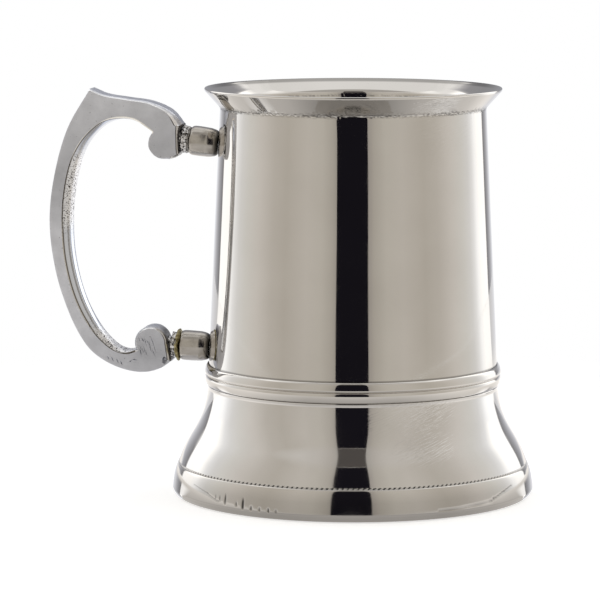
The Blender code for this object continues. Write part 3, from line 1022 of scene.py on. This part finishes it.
def fixing_frame(height, lean):
    """Leaves the wall square, raised by the lean."""
    rise = atan(WALL_SLOPE) + radians(lean)
    start = Vector((-wall_radius(height), 0, height)) * MM
    outward = Vector((-cos(rise), 0, sin(rise)))
    return Matrix.Translation(start) @ outward.to_track_quat("Z", "Y").to_matrix().to_4x4()


def make_ferrule(name, place, form, material):
    end, wide, slim = form["end"], form["wide"], form["slim"]
    tip = bezier((wide - 0.85, end), (wide - 0.5, end), (wide - 0.18, end - 0.35),
                 (wide - 0.08, end - 1.0), 9)
    barrel = bezier((wide - 0.07, end - 1.1), (wide, end - 2.3), (wide, end - 3.2), (slim, 4.0), 14)
    shoulder = bezier((slim, 3.8), (slim, 3.2), (slim - 0.08, 2.6), (slim - 0.32, 1.75), 14)
    shoulder += bezier(shoulder[-1], (slim - 0.55, 0.97), (slim - 1.0, GAP), (slim - 1.7, GAP), 11)[1:]
    profile = [(BORE_RADIUS, end)] + tip + barrel + shoulder + [(BORE_RADIUS, GAP)]
    lathe(name, profile, 120, spun(0.010), 40, material, name.replace("_turned", ""), place=place)


def lumpy(amount, scale, seed):
    """Crumbs or lumps on a small ring, outside its bore."""
    def wobble(radius, height, turn):
        at = Vector((radius * cos(turn), radius * sin(turn), height)) * scale
        push = noise.fractal(at + Vector((seed, 0, 0)), 0.8, 2.0, 3)
        slide = noise.noise(at * 0.7 + Vector((0, seed, 0)))
        if radius > BORE_RADIUS + 0.5:
            return radius + amount * push, height + amount * slide
        return radius, height
    return wobble


def make_braze_ring(name, place, form, material):
    start, half = form["start"], form["length"] / 2
    side = arc((form["radius"] - half * 0.7, start + half), (half * 0.7, half), 90, -90, 14)
    profile = [(BORE_RADIUS, start + form["length"])] + side + [(BORE_RADIUS, start)]
    lumps = lumpy(form["lumps"], 0.8, 3)
    lathe(name, profile, 96, lumps, 60, material, name.replace("_flowed", ""), place)


def make_stub(name, place, form, material):
    """The casting's rough stub, with a narrower neck behind it."""
    start, radius = form["start"], form["radius"]
    end = start + form["length"]
    neck = straight((radius - 1.3, end + 1.2), (radius - 1.2, end + 0.1), 4)
    side = straight((radius, end), (radius - 0.15, start), 12)
    profile = [(BORE_RADIUS, end + 1.2)] + neck + side + [(BORE_RADIUS, start)]
    lathe(name, profile, 140, lumpy(0.34, 1.9, 11), 180, material, None, place)


# Studio

def glow(name, strength, colour=None, spread=None):
    """An emitter of one colour, or of the colour that the spread makes from the place."""
    material, tree = new_material(name)
    tree.nodes.clear()
    shade = spread(tree, position(tree)) if spread else (*colour, 1)
    light = node(tree, "Emission", {"Color": shade, "Strength": strength})["Emission"]
    node(tree, "OutputMaterial", {"Surface": light})
    return material


def turn_share(tree, at, aside=0.0, ahead=0.0):
    """The turn from the camera's side, from 0 to 1 at the back, about a point beside the axis.

    On the handle's side everything stands a little further forward.
    """
    across = calc(tree, "SUBTRACT", calc(tree, "ABSOLUTE", at["X"]), aside)
    forward = calc(tree, "SUBTRACT", -ahead, at["Y"])
    turn = calc(tree, "ABSOLUTE", calc(tree, "ARCTAN2", across, forward))
    drawn = remap(tree, at["X"], -TENT_RADIUS, 0, LEFT_SHIFT, 0)
    return calc(tree, "ADD", remap(tree, turn, 0, pi), drawn)


def turn_stops(colours):
    """Stops over the turn, for an emitter of the tent's strength."""
    return [(turn / 180, tuple(c / GLOW for c in (colour * 3)[:3])) for turn, *colour in colours]


def distance_stops(values):
    """Stops over the distance from the axis, for an emitter of the tent's strength."""
    scale = MM / TENT_RADIUS
    return [(away * scale, tuple(value * c / GLOW for c in FLOOR_WARMTH)) for away, value in values]


def wall_light(tree, at):
    """Colour by the turn from the camera's side, blended from level to level."""
    share = turn_share(tree, at)
    colour = tint(tree, share, turn_stops(TENT_LOW))
    for (start, end), colours in TENT_RISES:
        rise = remap(tree, at["Z"], start, end)
        colour = blend(tree, rise, colour, tint(tree, share, turn_stops(colours)))
    return colour


def roof_light(tree, at):
    return tint(tree, remap(tree, at["Y"], -TENT_RADIUS, TENT_RADIUS), ROOF_SHADES)


def floor_light(tree, at):
    """Colour by the distance from the axis in front and beside, with a painted shadow round the tankard, and
    by the turn behind and far out.
    """
    flat = node(tree, "CombineXYZ", {"X": at["X"], "Y": at["Y"]})["Vector"]
    away = node(tree, "VectorMath", {0: flat}, operation="LENGTH")["Value"]
    share = remap(tree, away, 0, TENT_RADIUS)
    turn = turn_share(tree, at)
    past = turn_share(tree, at, 0.051, 0.015)
    aside = remap(tree, turn, 30 / 180, 80 / 180)
    colour = blend(tree, aside, tint(tree, share, distance_stops(FLOOR_FRONT)),
                   tint(tree, share, distance_stops(FLOOR_SIDE)))
    behind = calc(tree, "MULTIPLY", remap(tree, past, 122 / 180, 134 / 180),
                  remap(tree, share, 0.15, 0.22, 1, 0))
    colour = blend(tree, behind, colour, tint(tree, past, turn_stops(TENT_LOW)))
    far = remap(tree, share, 0.40, 0.62)
    return blend(tree, far, colour, tint(tree, turn, turn_stops(FLOOR_FAR)))


def stage_piece(name, bm, material, turn, seen=False):
    mesh = to_mesh(name, bm, False)
    mesh.materials.append(material)
    piece = add_object(name, mesh)
    piece.matrix_world = Matrix.Rotation(turn, 4, "Z")
    piece.visible_camera = seen
    return piece


def tent_card(low, high):
    """A strip of the tent's wall on the camera's side."""
    bm = bmesh.new()
    columns = []
    for step in range(13):
        turn = SLOT_HALF * (step / 6 - 1)
        x, y = SLOT_RADIUS * sin(turn), -SLOT_RADIUS * cos(turn)
        columns.append((bm.verts.new((x, y, low)), bm.verts.new((x, y, high))))
    for left, right in zip(columns, columns[1:]):
        bm.faces.new((left[0], right[0], right[1], left[1]))
    return bm


def slot_lid(near_edge, height):
    """A flat card from the slot towards the tankard."""
    bm = bmesh.new()
    half = sin(SLOT_HALF)
    corners = [(-half, SLOT_RADIUS), (half, SLOT_RADIUS), (half, near_edge), (-half, near_edge)]
    bm.faces.new([bm.verts.new((x * reach, -reach, height)) for x, reach in corners])
    return bm


def disc(radius, height):
    bm = bmesh.new()
    bmesh.ops.create_circle(bm, cap_ends=True, segments=96, radius=radius,
                            matrix=Matrix.Translation((0, 0, height)))
    return bm


def floor_paper():
    """Pale paper that fades out away from the tankard."""
    material, tree = new_material("floor_paper")
    return surface(material, {
        "Base Color": tint(tree, grain(tree, 900, 4.0), [(0.3, (0.86,) * 3), (0.7, (0.90,) * 3)]),
        "Roughness": 0.9,
        "Specular IOR Level": 0.1,
        "Emission Color": (1, 1, 1, 1),
        "Emission Strength": PAPER_GLOW,
        "Alpha": near(tree, (0, 0, 0), 0.08, 0.30),
    })


def make_studio():
    scene = bpy.context.scene
    scene.view_settings.view_transform = "Standard"
    scene.view_settings.look = "None"
    scene.world = bpy.data.worlds.new("studio")
    scene.world.use_nodes = True
    background = scene.world.node_tree.nodes["Background"]
    background.inputs["Color"].default_value = (1, 1, 1, 1)

    slot_turn = CAMERA_TURN + SLOT_TURN
    bm = bmesh.new()
    bmesh.ops.create_cone(bm, cap_ends=False, segments=180, radius1=TENT_RADIUS, radius2=TENT_RADIUS,
                          depth=TENT_HEIGHT, matrix=Matrix.Translation((0, 0, TENT_HEIGHT / 2)))
    stage_piece("tent_wall", bm, glow("tent_glow", GLOW, spread=wall_light), slot_turn)
    black = glow("slot_black", 1.0, SLOT_BLACK)
    grey = glow("slot_grey", 1.0, SLOT_GREY)
    stage_piece("slot", tent_card(0, SLOT_TOP), black, slot_turn)
    stage_piece("slot_above", tent_card(SLOT_TOP + 0.006, SLOT_END), grey, slot_turn)
    stage_piece("slot_roof", slot_lid(0.50, SLOT_END), grey, slot_turn)
    # A black sheet on the floor in front: painted shade where the slot gives the floor no light.
    stage_piece("slot_floor", slot_lid(0.30, -0.0002), black, slot_turn)
    roof = glow("roof_glow", ROOF_GLOW, spread=roof_light)
    stage_piece("tent_roof", disc(TENT_RADIUS, TENT_HEIGHT), roof, CAMERA_TURN)
    # The floor seen in reflections is a glowing disc: painted light, with a painted shadow round the tankard.
    bounce = glow("floor_glow", GLOW, spread=floor_light)
    stage_piece("floor_bounce", disc(TENT_RADIUS, -0.0004), bounce, CAMERA_TURN)
    floor = stage_piece("floor", disc(TENT_RADIUS - 0.01, 0), floor_paper(), CAMERA_TURN, True)
    floor.visible_glossy = False
    floor.visible_diffuse = False
    floor.visible_shadow = False


def make_camera():
    data = bpy.data.cameras.new("camera")
    data.sensor_width = SENSOR
    data.lens = FOCAL_PIXELS / FRAME_PIXELS * SENSOR
    camera = add_object("camera", data)
    tilt = Matrix.Rotation(CAMERA_YAW, 4, "Z") @ Matrix.Rotation(pi / 2 - CAMERA_PITCH, 4, "X")
    stand = Matrix.Translation((0, -CAMERA_REACH, CAMERA_HEIGHT))
    camera.matrix_world = Matrix.Rotation(CAMERA_TURN, 4, "Z") @ stand @ tilt
    bpy.context.scene.camera = camera


def main():
    make_cup_wall(polished_steel("wall_polish", WALL_TONES, 0.03, hairlines=WALL_HAIRLINES, shade_and_dirt=0.30))
    make_belt_ring(polished_steel("belt_polish", WALL_TONES, 0.03))
    make_base_skirt(polished_steel("skirt_polish", SKIRT_TONES, 0.04, hairlines=SKIRT_HAIRLINES))
    make_foot_band(polished_steel("foot_polish", FOOT_TONES, 0.04, shade=FOOT_SHADES, shade_and_dirt=0.15))
    make_knurl(polished_steel("seam_polish", SEAM_TONES, 0.08, shade_and_dirt=0.05))
    weld = cast_weld("cast_weld")
    flat = cast_satin("cast_satin", 0.30, CAST_FLAT, shades=CAST_SHADES)
    # Painted highlight on the bevels, and painted shade in the recesses.
    edge = cast_satin("cast_edge_highlight", 0.14, CAST_EDGE)
    recess = cast_satin("cast_recess_shaded", 0.33, CAST_RECESS, shade_and_dirt_marks=SHADED_RECESSES)
    make_handle([flat, cast_skin("cast_skin"), weld, edge, recess])
    barrel = ferrule_steel("ferrule_polish")
    fixings = [(name, fixing_frame(*form["place"]), form) for name, form in FIXINGS.items()]
    for name, place, form in fixings:
        make_ferrule(name + "_ferrule_turned", place, form["ferrule"], barrel)
    for name, place, form in fixings:
        make_braze_ring(name + "_braze_ring_flowed", place, form["braze"], braze_metal(*form["filler"]))
    for name, place, form in fixings:
        make_stub(name + "_stub_cast", place, form["stub"], weld)
    plain = polished_steel("plain_sheet", SHEET_TONES, 0.18)
    for name in ("cup_floor", "base_plate", "upper_stud", "lower_stud"):
        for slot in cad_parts[name].material_slots:
            slot.material = plain
    make_studio()
    make_camera()


main()
